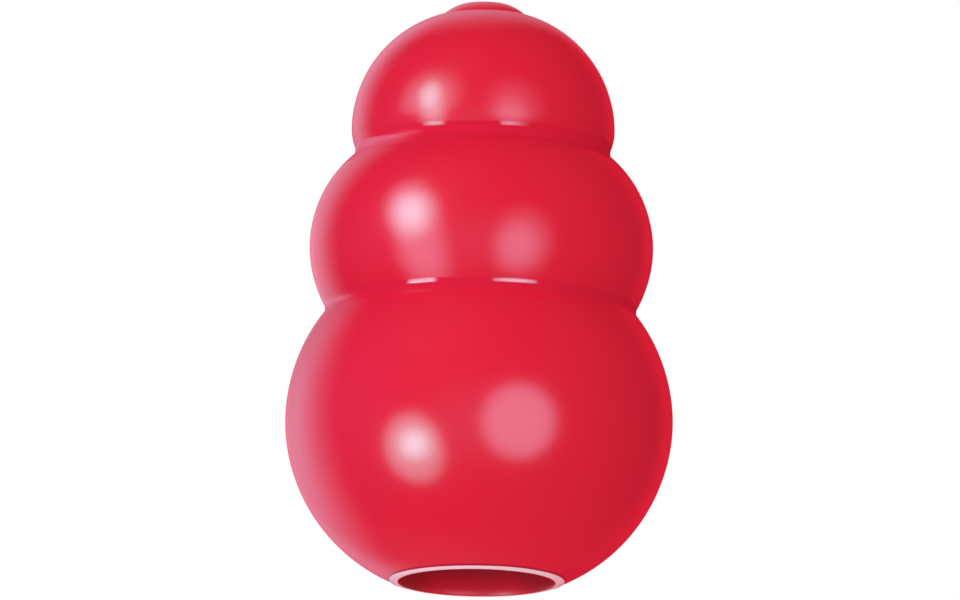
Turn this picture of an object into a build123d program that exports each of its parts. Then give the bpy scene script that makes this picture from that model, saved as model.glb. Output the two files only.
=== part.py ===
from build123d import *
from math import atan2, cos, degrees, radians, sin
import os

# Hollow rubber chew toy: one moulding of three stacked bulbs, drawn in to a waist between
# each two, with a stuffing mouth underneath and a small vent in a rounded collar at the top.
# It stands upright on the trimmed ring round its mouth. The axis is Z and the foot is at zero.
# The tiers meet face to face at the waists and under the collar. All sizes are in millimetres.

# Outside, from the foot upwards
foot_width = 0.3
base_bulb_radius = 33.7
base_belly_rise = 28.5
base_bulb_height = 48.1
lower_waist_depth = 2.8
middle_bulb_radius = 29.9
middle_belly_rise = 11.2
middle_bulb_height = 28.2
upper_waist_depth = 0.7
top_bulb_radius = 22.9
top_belly_rise = 3.9
top_bulb_height = 24.0
waist_round = 2.0
collar_width = 4.0
collar_height = 2.0
collar_edge_lean = 44

# Inside, from the mouth upwards
mouth_radius = 13.5
mouth_edge_round = 0.3
mouth_land_length = 5.0
mouth_overhang = 4.5
base_chamber_rise = 17.0
lower_throat_radius = 10.8
middle_chamber_swell = 2.6
middle_chamber_rise = 11.5
upper_throat_radius = 6.4
top_chamber_swell = 0.9
top_chamber_rise = 5.0
top_chamber_height = 13.0
throat_round = 4.0
vent_radius = 3.5
vent_edge_round = 0.6

# Heights above the foot
lower_waist_height = base_bulb_height
upper_waist_height = lower_waist_height + middle_bulb_height
collar_seat_height = upper_waist_height + top_bulb_height
overall_height = collar_seat_height + collar_height

# Points of the outside, as radius and height
foot_inner_edge = (mouth_radius + mouth_edge_round, 0)
foot_outer_edge = (mouth_radius + mouth_edge_round + foot_width, 0)
base_belly = (base_bulb_radius, base_belly_rise)
lower_waist = (middle_bulb_radius - lower_waist_depth, lower_waist_height)
middle_belly = (middle_bulb_radius, lower_waist_height + middle_belly_rise)
upper_waist = (top_bulb_radius - upper_waist_depth, upper_waist_height)
top_belly = (top_bulb_radius, upper_waist_height + top_belly_rise)

# Points of the inside
mouth_land_end = (mouth_radius, mouth_land_length)
base_chamber = (mouth_radius + mouth_overhang, mouth_land_length + base_chamber_rise)
lower_throat = (lower_throat_radius, lower_waist_height)
middle_chamber = (lower_throat_radius + middle_chamber_swell, lower_waist_height + middle_chamber_rise)
upper_throat = (upper_throat_radius, upper_waist_height)
top_chamber = (upper_throat_radius + top_chamber_swell, upper_waist_height + top_chamber_rise)
vent_start = (vent_radius, upper_waist_height + top_chamber_height)
vent_seat = (vent_radius, collar_seat_height)

# Crown of the collar: an arc that leaves the collar's edge at the lean and runs into the vent's
# rounded edge without a corner, so the two centres lie the difference of the radii apart
vent_collar_radius = vent_radius + collar_width
collar_seat = (vent_collar_radius, collar_seat_height)
edge_centre = (vent_radius + vent_edge_round, overall_height - vent_edge_round)
edge_reach = collar_width - vent_edge_round
edge_rise = collar_height - vent_edge_round
edge_lean = radians(collar_edge_lean)
lean_offset = edge_reach * cos(edge_lean) - edge_rise * sin(edge_lean)
edge_square = edge_reach**2 + edge_rise**2 - vent_edge_round**2
crown_radius = edge_square / (2 * (lean_offset - vent_edge_round))
crown_centre_radius = vent_collar_radius - crown_radius * cos(edge_lean)
crown_centre_height = collar_seat_height - crown_radius * sin(edge_lean)
crown_end = degrees(atan2(edge_centre[1] - crown_centre_height, edge_centre[0] - crown_centre_radius))


def half_belly(belly, neck, neck_round=0):
    """Arc from a belly, where it stands upright, to a neck with a round that is upright at the neck.

    The two arcs touch without a corner, so their centres lie the sum of their radii apart.
    With no round at the neck, the belly's arc ends at the neck itself.
    """
    belly_radius, belly_height = belly
    neck_radius, neck_height = neck
    rise = neck_height - belly_height
    draw = belly_radius - neck_radius
    inset = draw - neck_round
    belly_round = (rise**2 + inset**2 - neck_round**2) / (2 * draw)
    turn = degrees(atan2(rise, belly_round - inset))
    CenterArc((belly_radius - belly_round, belly_height), belly_round, 0, turn)
    if neck_round > 0:
        CenterArc((neck_radius + neck_round, neck_height), neck_round, 180, turn)


os.makedirs("parts", exist_ok=True)

# Widest tier: it carries the foot, the stuffing mouth and the largest chamber
with BuildPart() as base_bulb:
    with BuildSketch(Plane.XZ):
        with BuildLine():
            Line(foot_inner_edge, foot_outer_edge)
            half_belly(base_belly, foot_outer_edge)
            half_belly(base_belly, lower_waist, waist_round)
            Line(lower_waist, lower_throat)
            half_belly(base_chamber, lower_throat, throat_round)
            half_belly(base_chamber, mouth_land_end, throat_round)
            Line(mouth_land_end, (mouth_radius, mouth_edge_round))
            CenterArc((mouth_radius + mouth_edge_round, mouth_edge_round), mouth_edge_round, 180, 90)
        make_face()
    revolve(axis=Axis.Z)
base_bulb.part.label = "base_bulb"
export_step(base_bulb.part, "parts/base_bulb.step")

# Middle tier, from the lower waist to the upper one
with BuildPart() as middle_bulb:
    with BuildSketch(Plane.XZ):
        with BuildLine():
            Line(lower_throat, lower_waist)
            half_belly(middle_belly, lower_waist, waist_round)
            half_belly(middle_belly, upper_waist, waist_round)
            Line(upper_waist, upper_throat)
            half_belly(middle_chamber, upper_throat, throat_round)
            half_belly(middle_chamber, lower_throat, throat_round)
        make_face()
    revolve(axis=Axis.Z)
middle_bulb.part.label = "middle_bulb"
export_step(middle_bulb.part, "parts/middle_bulb.step")

# Top tier: its dome carries the collar, and its chamber narrows to the vent
with BuildPart() as top_bulb:
    with BuildSketch(Plane.XZ):
        with BuildLine():
            Line(upper_throat, upper_waist)
            half_belly(top_belly, upper_waist, waist_round)
            half_belly(top_belly, collar_seat)
            Line(collar_seat, vent_seat)
            Line(vent_seat, vent_start)
            half_belly(top_chamber, vent_start, throat_round)
            half_belly(top_chamber, upper_throat, throat_round)
        make_face()
    revolve(axis=Axis.Z)
top_bulb.part.label = "top_bulb"
export_step(top_bulb.part, "parts/top_bulb.step")

# Low crowned ring round the top of the vent
with BuildPart() as vent_collar:
    with BuildSketch(Plane.XZ):
        with BuildLine():
            Line(vent_seat, collar_seat)
            CenterArc((crown_centre_radius, crown_centre_height), crown_radius,
                      collar_edge_lean, crown_end - collar_edge_lean)
            CenterArc(edge_centre, vent_edge_round, crown_end, 180 - crown_end)
            Line((vent_radius, edge_centre[1]), vent_seat)
        make_face()
    revolve(axis=Axis.Z)
vent_collar.part.label = "vent_collar"
export_step(vent_collar.part, "parts/vent_collar.step")
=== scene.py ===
import bpy
import numpy as np
from mathutils import Matrix, Vector


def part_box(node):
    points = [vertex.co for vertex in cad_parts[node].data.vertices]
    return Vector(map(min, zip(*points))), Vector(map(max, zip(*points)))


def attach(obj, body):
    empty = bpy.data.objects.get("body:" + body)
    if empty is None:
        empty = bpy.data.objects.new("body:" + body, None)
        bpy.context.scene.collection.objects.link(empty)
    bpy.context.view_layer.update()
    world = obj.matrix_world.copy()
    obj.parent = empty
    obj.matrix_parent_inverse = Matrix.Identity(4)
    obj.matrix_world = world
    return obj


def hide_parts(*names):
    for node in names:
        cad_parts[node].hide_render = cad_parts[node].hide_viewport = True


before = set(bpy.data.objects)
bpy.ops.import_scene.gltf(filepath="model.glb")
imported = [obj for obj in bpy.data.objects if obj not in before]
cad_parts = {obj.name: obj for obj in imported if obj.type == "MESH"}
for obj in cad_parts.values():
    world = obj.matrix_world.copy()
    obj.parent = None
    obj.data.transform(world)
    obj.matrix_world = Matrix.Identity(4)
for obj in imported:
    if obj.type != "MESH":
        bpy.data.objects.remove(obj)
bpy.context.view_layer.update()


# Base bulb: the widest tier of one compression moulding in red natural rubber, open below. The
# flash round its mouth is ground off, which leaves a lip with a fine groove round it. The lip's pale
# pink is partly its ground face and partly a painted reflection of light from below, and the groove is
# painted darker as shade. The outside is satin from the mould, the creases are dull with polished
# spots and painted darker as shade, a pale sheen is painted on the left of the upper crease, and the
# hollow is matt with painted shade.
mm = 0.001
base_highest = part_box("base_bulb")[1]
base_belly = (base_highest.x / mm, 28.5)
lower_waist = (27.1, base_highest.z / mm)
waist_round = 2.0
mouth_radius = 13.5
mouth_edge_round = 0.3
mouth_edge_rise = 1.2
mouth_land_end = (mouth_radius, 5.0)
foot_inner_edge = (mouth_radius + mouth_edge_round, 0.0)
foot_outer_edge = (14.1, 0.0)
lip_edge = (15.25, 0.33)
groove_floor = (15.40, 0.54)
groove_end_radius = 15.62
base_chamber = (18.0, 22.0)
lower_throat = (10.8, lower_waist[1])
throat_round = 4.0
ridge_height = 0.05
ridge_width = 0.22
ridge_turn = 0.02
ridge_columns = 13
round_columns = 240
sharp_from_angle = np.radians(40)


def half_belly(belly, neck, neck_round=0.0, belly_steps=56, neck_steps=20):
    """Points (radius, height) from a belly to a neck, along two arcs that touch.

    The first arc stands upright at the belly and the round stands upright at the neck. Their
    centres lie the sum of their radii apart, so the belly's radius is
    (rise squared + inset squared - round squared) / (2 draw), with inset = draw - round.
    """
    belly_radius, belly_height = belly
    neck_radius, neck_height = neck
    rise = neck_height - belly_height
    draw = belly_radius - neck_radius
    inset = draw - neck_round
    belly_round = (rise**2 + inset**2 - neck_round**2) / (2 * draw)
    turn = np.arctan2(rise, belly_round - inset)
    out = turn * np.linspace(0, 1, belly_steps)
    back = turn * np.linspace(1, 0, neck_steps)
    arc = np.column_stack([belly_radius - belly_round + belly_round * np.cos(out),
                           belly_height + belly_round * np.sin(out)])
    close = np.column_stack([neck_radius + neck_round - neck_round * np.cos(back),
                             neck_height - neck_round * np.sin(back)])
    return np.vstack([arc, close])


def closed_section(outside, inside):
    """The outside upwards and the inside back down, as one loop of (radius, height, inside).

    Inside is 1 on the wall of the hollow and 0 elsewhere. Points that repeat are dropped.
    """
    marks = np.repeat([0.0, 1.0], [len(outside), len(inside)])
    loop = np.column_stack([np.vstack([outside, inside]), marks])
    step = np.hypot(*(np.roll(loop[:, :2], -1, axis=0) - loop[:, :2]).T)
    return loop[step > 1e-5]


def unevenness(angle, height):
    """How far the moulding strays from round, in mm: three long waves round and along the axis."""
    return (0.016 * np.sin(2 * angle + height / 9.0)
            + 0.012 * np.sin(3 * angle - height / 6.5 + 1.3)
            + 0.007 * np.sin(7 * angle + height / 4.1 + 0.4))


def parting_ridge(angle, radius):
    """The raised line left where the mould's halves meet, on the left and the right side, in mm.

    It falls off as a bell curve of the distance round the surface from the mould's joint.
    """
    apart = radius * np.abs(np.sin(angle))
    return ridge_height * np.exp(-((apart / ridge_width) ** 2))


def turned(name, section):
    """A closed section carried once round the axis, as a mesh object.

    The point (radius, height) at angle a goes to (radius cos a, radius sin a, height). Outside,
    the radius also takes the unevenness and the parting ridge. Columns lie closer at the ridge.
    """
    near_ridge = np.linspace(-ridge_turn, ridge_turn, ridge_columns)
    round_angles = np.linspace(0, 2 * np.pi, round_columns, endpoint=False)
    clear = np.abs(np.sin(round_angles)) > 1.1 * ridge_turn
    angle = np.sort(np.concatenate([round_angles[clear], near_ridge % (2 * np.pi), near_ridge + np.pi]))
    radius, height, inside = section.T[:, :, None]
    strayed = unevenness(angle, height) + parting_ridge(angle, radius)
    across = radius + (1 - inside) * strayed
    spots = np.stack([across * np.cos(angle), across * np.sin(angle), height + 0 * angle], axis=-1)
    rows, columns = spots.shape[:2]
    here = np.arange(rows * columns).reshape(rows, columns)
    beside = np.roll(here, -1, axis=1)
    above = np.roll(here, -1, axis=0)
    quads = np.stack([here, beside, np.roll(beside, -1, axis=0), above], axis=-1).reshape(-1, 4)
    mesh = bpy.data.meshes.new(name)
    mesh.from_pydata((spots.reshape(-1, 3) * mm).tolist(), [], quads.tolist())
    in_hollow = np.minimum(section[:, 2], np.roll(section[:, 2], -1)).astype(np.int32)
    mesh.materials.append(red_rubber)
    mesh.materials.append(hollow_rubber)
    mesh.polygons.foreach_set("material_index", np.repeat(in_hollow, columns))
    mesh.polygons.foreach_set("use_smooth", np.ones(len(quads), bool))
    mesh.set_sharp_from_angle(angle=sharp_from_angle)
    mesh.update()
    piece = bpy.data.objects.new(name, mesh)
    bpy.context.scene.collection.objects.link(piece)
    return piece


class Finish:
    """A value in a node tree: sums and products of it add Math nodes to the tree."""

    def __init__(self, tree, socket=None):
        self.tree = tree
        self.socket = socket

    def node(self, kind, settings=None, sockets=None, output=0):
        """Any node: its settings are set first, then each named socket gets a value or a link."""
        made = self.tree.nodes.new(kind)
        for name, value in (settings or {}).items():
            setattr(made, name, value)
        for name, value in (sockets or {}).items():
            if isinstance(value, Finish):
                self.tree.links.new(value.socket, made.inputs[name])
            else:
                made.inputs[name].default_value = value
        return Finish(self.tree, made.outputs[output] if made.outputs else None)

    def math(self, operation, *values):
        return self.node("ShaderNodeMath", {"operation": operation}, dict(enumerate(values)))

    def __add__(self, other):
        return self.math("ADD", self, other)

    def __sub__(self, other):
        return self.math("SUBTRACT", self, other)

    def __rsub__(self, other):
        return self.math("SUBTRACT", other, self)

    def __mul__(self, other):
        return self.math("MULTIPLY", self, other)

    __radd__ = __add__
    __rmul__ = __mul__

    def along(self, axis):
        """One coordinate of a place, in mm."""
        return self.node("ShaderNodeSeparateXYZ", sockets={"Vector": self}, output=axis) * (1 / mm)

    def ramp(self, start, end):
        """0 before start, 1 after end, and a smooth step between them."""
        return self.node("ShaderNodeMapRange", {"interpolation_type": "SMOOTHSTEP"},
                         {"Value": self, "From Min": start, "From Max": end})

    def band(self, start, full, fading, end):
        """0 before start, 1 from full to fading and 0 after end, with smooth steps between them."""
        return self.ramp(start, full) * (1 - self.ramp(fading, end))

    def noise(self, place, cells_per_metre, detail):
        """Fractal noise from 0 to 1 whose cells are one part in cells_per_metre of a metre."""
        return self.node("ShaderNodeTexNoise", {"noise_dimensions": "3D"},
                         {"Vector": place, "Scale": cells_per_metre, "Detail": detail})

    def blend(self, first, second):
        """The first colour where this value is 0 and the second where it is 1."""
        return self.node("ShaderNodeMix", {"data_type": "RGBA"},
                         {"Factor": self, 6: first, 7: second}, output=2)


def new_finish(name):
    """A new material with an empty node tree, and the Finish that adds nodes to it."""
    material = bpy.data.materials.new(name)
    material.use_nodes = True
    material.node_tree.nodes.clear()
    return material, Finish(material.node_tree)


rubber_red = (0.86, 0.0128, 0.039, 1)
rubber_deep_red = (0.78, 0.0118, 0.031, 1)
rubber_sheen = (1, 0.02, 0.06, 1)
# Darker red painted as shade in the dull creases
crease_shade_red = (0.74, 0.015, 0.040, 1)
# Pinks of a pale sheen painted on the left of the upper crease
painted_sheen_pink = (0.86, 0.055, 0.095, 1)
painted_pale_sheen_pink = (0.86, 0.13, 0.18, 1)
# Pale pink of the lip: partly its ground face, partly a painted reflection of light from below
ground_and_painted_light_lip = (1.0, 0.63, 0.67, 1)
# Darker red painted as shade in the groove round the lip
groove_shade_red = (0.50, 0.006, 0.025, 1)
# Darker reds painted as shade inside the hollow
hollow_shade_red = (0.60, 0.021, 0.036, 1)
hollow_deep_shade_red = (0.50, 0.015, 0.023, 1)
satin_roughness = 0.13
ground_roughness = 0.35
rubbed_roughness = 0.42

# Outside of the rubber. Side runs from -1 on the left to 1 on the right, and lengths are in mm.
red_rubber, nodes = new_finish("red_rubber")
place = nodes.node("ShaderNodeTexCoord", output="Object")
across = place.along("X")
inward = place.along("Y")
level = place.along("Z")
from_axis = nodes.math("SQRT", across * across + inward * inward)
side = nodes.math("DIVIDE", across, from_axis)
over_lower_waist = level - lower_waist[1]
over_upper_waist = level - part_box("middle_bulb")[1].z / mm
cloud = nodes.noise(place, 70.0, 3.0)
grain = nodes.noise(place, 2600.0, 2.0)
peel = nodes.noise(place, 420.0, 1.0)

# The ground lip, its pale pink partly a painted reflection of light from below, and the groove round
# it, painted darker as shade
underside = 1 - level.ramp(0.7, 1.0)
past_lip = from_axis.ramp(lip_edge[0] - 0.03, lip_edge[0] + 0.07)
past_groove = from_axis.ramp(groove_end_radius - 0.12, groove_end_radius + 0.08)
lip = underside * (1 - past_lip)
# The groove, where a darker red is painted as shade
groove = underside * past_lip * (1 - past_groove)

# The creases at the waists: dull and painted darker as shade, all round but on the far left and for two
# polished spots in each
lower_spots = across.band(-13.2, -12.2, -8.4, -7.2) + across.band(1.6, 2.4, 9.2, 10.2)
upper_spots = across.band(-11.2, -10.2, -7.2, -6.2) + across.band(2.6, 3.4, 7.6, 8.6)
lower_polish = over_lower_waist.band(0.05, 0.3, 0.75, 1.0) * lower_spots
upper_polish = over_upper_waist.band(0.55, 0.7, 1.15, 1.35) * upper_spots
lower_crease = over_lower_waist.band(-1.5, -0.5, 0.75, 1.0)
upper_crease = over_upper_waist.band(-3.1, -1.5, 1.15, 1.35)
dull_and_shaded = ((lower_crease - lower_polish) * side.ramp(-0.90, -0.78)
            + (upper_crease - upper_polish) * side.ramp(-0.72, -0.46))

# A rougher stretch on the left of the upper crease, with a pale sheen painted into its colour: it is
# wider and paler farther round
flare = 1.6 * (1 - side.ramp(-0.97, -0.66))
rough_sheen_height = ((over_upper_waist + flare).ramp(-2.7, -1.7)
                 * (1 - (over_upper_waist - flare * 0.3).ramp(-0.5, 0.1)))
rough_painted_sheen = rough_sheen_height * side.band(-1.0, -0.96, -0.76, -0.46) * (1 - inward.ramp(-10.0, 2.0))
painted_sheen_colour = side.ramp(-0.94, -0.74).blend(painted_pale_sheen_pink, painted_sheen_pink)

red = (cloud * 0.5 + grain * 0.2).blend(rubber_red, rubber_deep_red)
# The pale sheen painted over the red
red_with_painted_sheen = rough_painted_sheen.blend(red, painted_sheen_colour)
bump = nodes.node("ShaderNodeBump", sockets={
    "Height": peel * 0.5 + grain * (0.5 + lip),
    "Strength": 0.05,
    "Distance": 0.05 * mm,
})
satin = nodes.node("ShaderNodeBsdfPrincipled", sockets={
    "Base Color": groove.blend(lip.blend(red_with_painted_sheen, ground_and_painted_light_lip), groove_shade_red),
    "Roughness": (satin_roughness + cloud * 0.05 + grain * 0.03
                  + lip * ground_roughness + rough_painted_sheen * rubbed_roughness),
    "Normal": bump,
    "IOR": 1.52,
    "Sheen Weight": 1.0,
    "Sheen Roughness": 0.35,
    "Sheen Tint": rubber_sheen,
    "Coat Weight": lower_polish + upper_polish,
    "Coat Roughness": 0.08,
    "Coat IOR": 1.8,
})
# The dull creases, with shade painted darker and the pale sheen painted over it
dull = nodes.node("ShaderNodeBsdfPrincipled", sockets={
    "Base Color": rough_painted_sheen.blend(crease_shade_red, painted_sheen_colour),
    "Roughness": 0.8,
    "Specular IOR Level": 0.0,
})
skin = nodes.node("ShaderNodeMixShader", sockets={0: dull_and_shaded, 1: satin, 2: dull})
nodes.node("ShaderNodeOutputMaterial", sockets={"Surface": skin})

# Wall of the hollow: redder and a little glossy at the mouth's edge, and darker inside and at the
# sides, where shade is painted into its colour
hollow_rubber, nodes = new_finish("hollow_rubber")
place = nodes.node("ShaderNodeTexCoord", output="Object")
aside = nodes.math("ABSOLUTE", place.along("X"))
depth = place.along("Z")
# Painted shade: darker with depth and towards the left and right sides
shaded = depth.ramp(0.5, 4.5) + aside.ramp(6.0, 12.0)
cloud = nodes.noise(place, 90.0, 3.0)
grain = nodes.noise(place, 1500.0, 2.0)
bump = nodes.node("ShaderNodeBump", sockets={"Height": grain, "Strength": 0.1, "Distance": 0.1 * mm})
matt = nodes.node("ShaderNodeBsdfPrincipled", sockets={
    "Base Color": shaded.blend(rubber_red, cloud.blend(hollow_shade_red, hollow_deep_shade_red)),
    "Roughness": 0.62 + grain * 0.15,
    "Normal": bump,
    "Specular IOR Level": 0.05,
    "Coat Weight": 0.45 * (1 - depth.ramp(0.9, 1.8)),
    "Coat Roughness": 0.3,
})
nodes.node("ShaderNodeOutputMaterial", sockets={"Surface": matt})

lower_arc = half_belly(base_belly, foot_outer_edge, belly_steps=90)[::-1]
lower_arc = lower_arc[lower_arc[:, 0] > groove_end_radius]
upper_arc = half_belly(base_belly, lower_waist, waist_round, belly_steps=70)
lip_face = np.array([foot_inner_edge, foot_outer_edge, lip_edge, groove_floor])
edge_turn = np.radians(np.linspace(180, 270, 14))
mouth_edge = np.column_stack([mouth_radius + mouth_edge_round * (1 + np.cos(edge_turn)),
                              mouth_edge_rise * (1 + np.sin(edge_turn))])
base_outside = np.vstack([lip_face, lower_arc, upper_arc])
base_inside = np.vstack([half_belly(base_chamber, lower_throat, throat_round)[::-1],
                         half_belly(base_chamber, mouth_land_end, throat_round),
                         mouth_edge])
base_bulb = turned("base_bulb_skin", closed_section(base_outside, base_inside))
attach(base_bulb, "root")
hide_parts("base_bulb")


# Middle bulb: the second tier of the same rubber moulding, between the two waists.
# Its outside runs into both waists with a round, and its chamber opens into the base's.
middle_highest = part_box("middle_bulb")[1]
middle_belly = (middle_highest.x / mm, 59.3)
upper_waist = (22.2, middle_highest.z / mm)
middle_chamber = (13.4, 59.6)
upper_throat = (6.4, upper_waist[1])
middle_outside = np.vstack([half_belly(middle_belly, lower_waist, waist_round)[::-1],
                            half_belly(middle_belly, upper_waist, waist_round)])
middle_inside = np.vstack([half_belly(middle_chamber, upper_throat, throat_round)[::-1],
                           half_belly(middle_chamber, lower_throat, throat_round)])
middle_bulb = turned("middle_bulb_skin", closed_section(middle_outside, middle_inside))
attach(middle_bulb, "root")
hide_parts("middle_bulb")


# Top bulb: the smallest tier of the same moulding, a dome that closes towards the vent.
# Its chamber narrows to the straight vent, and the collar stands on the flat at its top.
top_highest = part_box("top_bulb")[1]
collar_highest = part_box("vent_collar")[1]
top_belly = (top_highest.x / mm, 80.2)
collar_seat = (collar_highest.x / mm, top_highest.z / mm)
top_chamber = (7.3, 81.3)
vent_radius = 3.5
vent_seat = (vent_radius, collar_seat[1])
vent_start = (vent_radius, 89.3)
top_outside = np.vstack([half_belly(top_belly, upper_waist, waist_round)[::-1],
                         half_belly(top_belly, collar_seat, belly_steps=80)])
top_inside = np.vstack([[vent_seat],
                        half_belly(top_chamber, vent_start, throat_round)[::-1],
                        half_belly(top_chamber, upper_throat, throat_round)])
top_bulb = turned("top_bulb_skin", closed_section(top_outside, top_inside))
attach(top_bulb, "root")
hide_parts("top_bulb")


# Vent collar: the low crowned ring of the same moulding round the vent at the very top.
# It is moulded on, so it meets the dome in a sharp crease with no joint.
collar_top = collar_highest.z / mm
collar_edge_lean = np.radians(44)
vent_edge_round = 0.6


def crowned_ring(edge, lean, inner_radius, inner_round, top, crown_steps=24, edge_steps=16):
    """Points (radius, height) over a ring's crown from its outer edge, and on down into its hole.

    The crown is an arc that leaves the edge at the lean and runs into the hole's rounded edge,
    so the centres lie the difference of the radii apart, and the crown's radius is
    (reach squared + rise squared - round squared) / (2 (reach cos lean - rise sin lean - round)).
    """
    hole_edge = np.array([inner_radius + inner_round, top - inner_round])
    reach = edge[0] - hole_edge[0]
    rise = hole_edge[1] - edge[1]
    offset = reach * np.cos(lean) - rise * np.sin(lean) - inner_round
    crown = (reach**2 + rise**2 - inner_round**2) / (2 * offset)
    centre = edge - crown * np.array([np.cos(lean), np.sin(lean)])
    meeting = np.arctan2(hole_edge[1] - centre[1], hole_edge[0] - centre[0])
    over = np.linspace(lean, meeting, crown_steps)
    down = np.linspace(meeting, np.pi, edge_steps)
    arc = centre + crown * np.column_stack([np.cos(over), np.sin(over)])
    close = hole_edge + inner_round * np.column_stack([np.cos(down), np.sin(down)])
    return arc, close


collar_outside, vent_edge = crowned_ring(collar_seat, collar_edge_lean, vent_radius, vent_edge_round,
                                         collar_top)
collar_inside = np.vstack([vent_edge, [vent_seat]])
vent_collar = turned("vent_collar_skin", closed_section(collar_outside, collar_inside))
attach(vent_collar, "root")
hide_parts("vent_collar")


# Floor: a plain pale tabletop that only shows from above, so the low view looks past it.
# It takes shadows but throws nothing back, as a table under a wide soft light would.
floor_reach = 2.0
floor_gap = 0.1 * mm
table_grey = (0.9, 0.9, 0.9, 1)
floor_mesh = bpy.data.meshes.new("floor")
floor_corners = floor_reach * np.array([(-1, -1), (1, -1), (1, 1), (-1, 1)])
floor_spots = np.column_stack([floor_corners, np.full(4, -floor_gap)])
floor_mesh.from_pydata(floor_spots.tolist(), [], [(0, 1, 2, 3)])
floor = bpy.data.objects.new("floor", floor_mesh)
bpy.context.scene.collection.objects.link(floor)
pale_table, nodes = new_finish("pale_table")
table_face = nodes.node("ShaderNodeBsdfDiffuse", sockets={"Color": table_grey})
under_face = nodes.node("ShaderNodeNewGeometry", output="Backfacing")
seen_through = nodes.node("ShaderNodeBsdfTransparent")
one_sided = nodes.node("ShaderNodeMixShader", sockets={0: under_face, 1: table_face, 2: seen_through})
nodes.node("ShaderNodeOutputMaterial", sockets={"Surface": one_sided})
floor_mesh.materials.append(pale_table)
floor.visible_diffuse = False
floor.visible_glossy = False
floor.visible_transmission = False
floor.visible_shadow = False


# Studio: a white room, softboxes on both sides of the camera that make each tier's highlights,
# wide ones behind the toy for its edges, broad fills that only light it, and a table light.
# Most softboxes are flagged off to one tier, so that each tier's highlights are set by themselves.
white_light = (1, 1, 1, 1)
cool_light = (0.22, 1.0, 1.10, 1)
pink_light = (0.5, 1.0, 1.36, 1)
rose_light = (0.85, 1.0, 1.3, 1)
red_light = (1.0, 0.01, 0.03, 1)
lilac_light = (1.0, 1.0, 1.35, 1)
blue_light = (0.2, 0.5, 2.0, 1)
room_fill = 0.60
toy_centre = Vector((0, 0, 50 * mm))
light_distance = 0.6
room = bpy.data.worlds.new("white_room")
bpy.context.scene.world = room
room.use_nodes = True
room.node_tree.nodes.clear()
nodes = Finish(room.node_tree)
seen = nodes.node("ShaderNodeLightPath", output="Is Camera Ray")
backdrop = nodes.node("ShaderNodeBackground", sockets={
    "Color": white_light, "Strength": seen * (1 - room_fill) + room_fill})
nodes.node("ShaderNodeOutputWorld", sockets={"Surface": backdrop})
room.cycles_visibility.glossy = False


def light_group(name, *pieces):
    """A collection of the pieces that a light shines on alone."""
    group = bpy.data.collections.new(name)
    for piece in pieces:
        group.objects.link(piece)
    return group


def softbox(name, azimuth, elevation, width, height, glow, lights, colour=white_light, core=0.0,
            mirrored=True):
    """A round softbox aimed at the toy's centre, with glow as the radiance of its middle.

    Azimuth runs to the right from the camera's side and elevation up from level, in degrees.
    Its glow is even over the core, a share of its radius, and fades smoothly to its rim.
    It shines on one light group. A mirrored one makes only a highlight, and another only lights.
    """
    turn, lift = np.radians(azimuth), np.radians(elevation)
    away = Vector((np.sin(turn) * np.cos(lift), -np.cos(turn) * np.cos(lift), np.sin(lift)))
    light = bpy.data.lights.new(name, "AREA")
    light.shape = "ELLIPSE"
    light.size = width
    light.size_y = height
    light.energy = glow * np.pi * (np.pi * width * height / 4)
    light.use_nodes = True
    light.node_tree.nodes.clear()
    nodes = Finish(light.node_tree)
    spot = nodes.node("ShaderNodeNewGeometry", output="Parametric")
    from_middle = nodes.node("ShaderNodeVectorMath", {"operation": "DISTANCE"},
                             {0: spot, 1: (0.5, 0.5, 0)}, output="Value")
    shine = nodes.node("ShaderNodeEmission", sockets={
        "Color": colour,
        "Strength": 1 - (from_middle * 2).ramp(core, 1.0),
    })
    nodes.node("ShaderNodeOutputLight", sockets={"Surface": shine})
    lamp = bpy.data.objects.new(name, light)
    lamp.location = toy_centre + away * light_distance
    lamp.rotation_mode = "QUATERNION"
    lamp.rotation_quaternion = away.to_track_quat("Z", "Y")
    lamp.visible_camera = False
    lamp.visible_diffuse = not mirrored
    lamp.visible_glossy = mirrored
    lamp.light_linking.receiver_collection = lights
    bpy.context.scene.collection.objects.link(lamp)


lowest_tier = light_group("lowest_tier", base_bulb)
middle_tier = light_group("middle_tier", middle_bulb)
highest_tier = light_group("highest_tier", top_bulb, vent_collar)
lower_tiers = light_group("lower_tiers", base_bulb, middle_bulb)
upper_tiers = light_group("upper_tiers", middle_bulb, top_bulb, vent_collar)
all_tiers = light_group("all_tiers", base_bulb, middle_bulb, top_bulb, vent_collar)
tabletop = light_group("tabletop", floor)

# Highlights of the base, and its pale left edge
softbox("base_left", -41.2, -25.4, 0.31, 0.30, 13.8, lowest_tier, cool_light)
softbox("base_left_halo", -42.7, -27.7, 0.45, 0.55, 4.65, lowest_tier, cool_light, core=0.6)
softbox("base_right", 23.8, -12.6, 0.60, 0.65, 3.8, lowest_tier, pink_light, core=0.53)
softbox("base_left_edge", -131.0, 1.0, 1.06, 1.36, 1.32, lowest_tier, pink_light)
softbox("base_low_edge", -160.0, -30.0, 0.36, 0.60, 0.20, lowest_tier, pink_light)

# Highlights of the middle
softbox("middle_left", -47.3, 14.8, 0.49, 0.62, 11.2, middle_tier, cool_light)
softbox("middle_left_halo", -55.3, 27.0, 0.44, 0.56, 4.3, middle_tier, pink_light)
softbox("middle_left_foot", -41.7, -11.8, 0.54, 1.28, 3.35, middle_tier, pink_light, core=0.2)
softbox("middle_right", 25.4, -13.2, 0.43, 0.64, 2.4, middle_tier, pink_light, core=0.2)
softbox("middle_right_halo", 27.7, -10.7, 0.59, 0.96, 1.1, middle_tier, pink_light, core=0.45)

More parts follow.
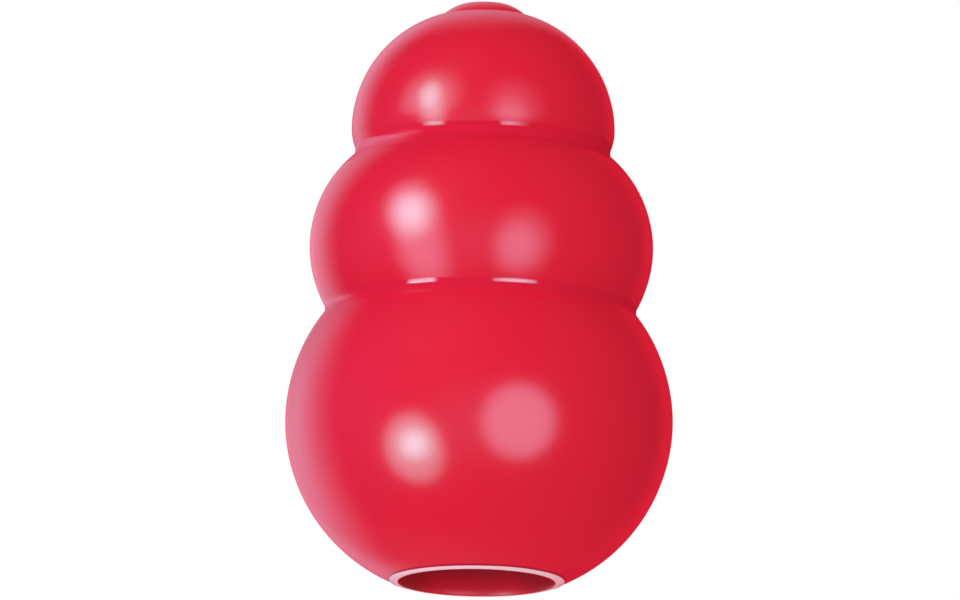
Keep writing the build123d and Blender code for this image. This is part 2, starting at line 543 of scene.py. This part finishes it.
# Highlights of the top
softbox("top_left", -49.9, 24.3, 0.27, 0.33, 6.7, highest_tier, cool_light, core=0.3)
softbox("top_left_halo", -49.1, 21.1, 0.83, 0.71, 4.25, highest_tier, cool_light)
softbox("top_left_foot", -44.5, 0.0, 0.38, 0.87, 6.9, highest_tier, cool_light)
softbox("top_right", 23.9, -0.8, 0.46, 0.71, 2.35, highest_tier, pink_light, core=0.2)
softbox("top_right_halo", 26.8, 9.0, 0.79, 0.89, 1.0, highest_tier, pink_light, core=0.27)
softbox("top_right_foot", 25.0, -36.0, 0.50, 0.40, 3.0, highest_tier, pink_light, core=0.2)

# Edges, lit from behind: pale on the left, red on the right
softbox("upper_left_edge", -142.0, 11.0, 0.84, 1.36, 1.02, upper_tiers, rose_light)
softbox("back_left", -168.0, 0.0, 0.46, 1.60, 0.60, lower_tiers, rose_light)
softbox("back_top", -171.0, 42.0, 0.72, 1.20, 0.70, highest_tier, rose_light)
softbox("right_edge", 150.0, 13.0, 0.56, 1.30, 0.95, all_tiers, red_light)

# Fills, and the light on the table
softbox("front_low_fill", -8.0, -12.0, 0.90, 0.90, 2.08, all_tiers, lilac_light, mirrored=False)
softbox("front_high_fill", -42.0, 42.0, 0.96, 0.96, 1.04, all_tiers, mirrored=False)
softbox("left_fill", -80.0, 5.0, 0.90, 0.90, 1.5, all_tiers, blue_light, mirrored=False)
softbox("low_fill", -162.0, -54.0, 0.80, 0.80, 2.7, all_tiers, mirrored=False)
softbox("right_behind", 150.0, 0.0, 0.60, 0.80, 0.6, all_tiers, mirrored=False)
softbox("table_light", -35.0, 62.0, 1.20, 1.20, 1.6, tabletop, mirrored=False)


# Camera: a long lens from a little below, rolled slightly, as in the photograph.
# The image is 960 by 600, and the toy fills its height.
image_width = 960
pixel_size = 0.1743 * mm
view_from_below = np.radians(10.7)
view_roll = np.radians(0.806)
view_distance = 4.0
aim = Vector((-0.12 * mm, 0, 50.05 * mm))
back = Vector((0, -np.cos(view_from_below), -np.sin(view_from_below)))
up = Vector((0, -np.sin(view_from_below), np.cos(view_from_below)))
right = Vector((1, 0, 0))
rolled_right = right * np.cos(view_roll) + up * np.sin(view_roll)
rolled_up = up * np.cos(view_roll) - right * np.sin(view_roll)
lens = bpy.data.cameras.new("camera")
lens.sensor_width = 36.0
lens.lens = lens.sensor_width * view_distance / (image_width * pixel_size)
camera = bpy.data.objects.new("camera", lens)
turned_to_toy = Matrix((rolled_right, rolled_up, back)).transposed().to_4x4()
camera.matrix_world = Matrix.Translation(aim + back * view_distance) @ turned_to_toy
bpy.context.scene.collection.objects.link(camera)
bpy.context.scene.camera = camera
bpy.context.scene.view_settings.view_transform = "Standard"
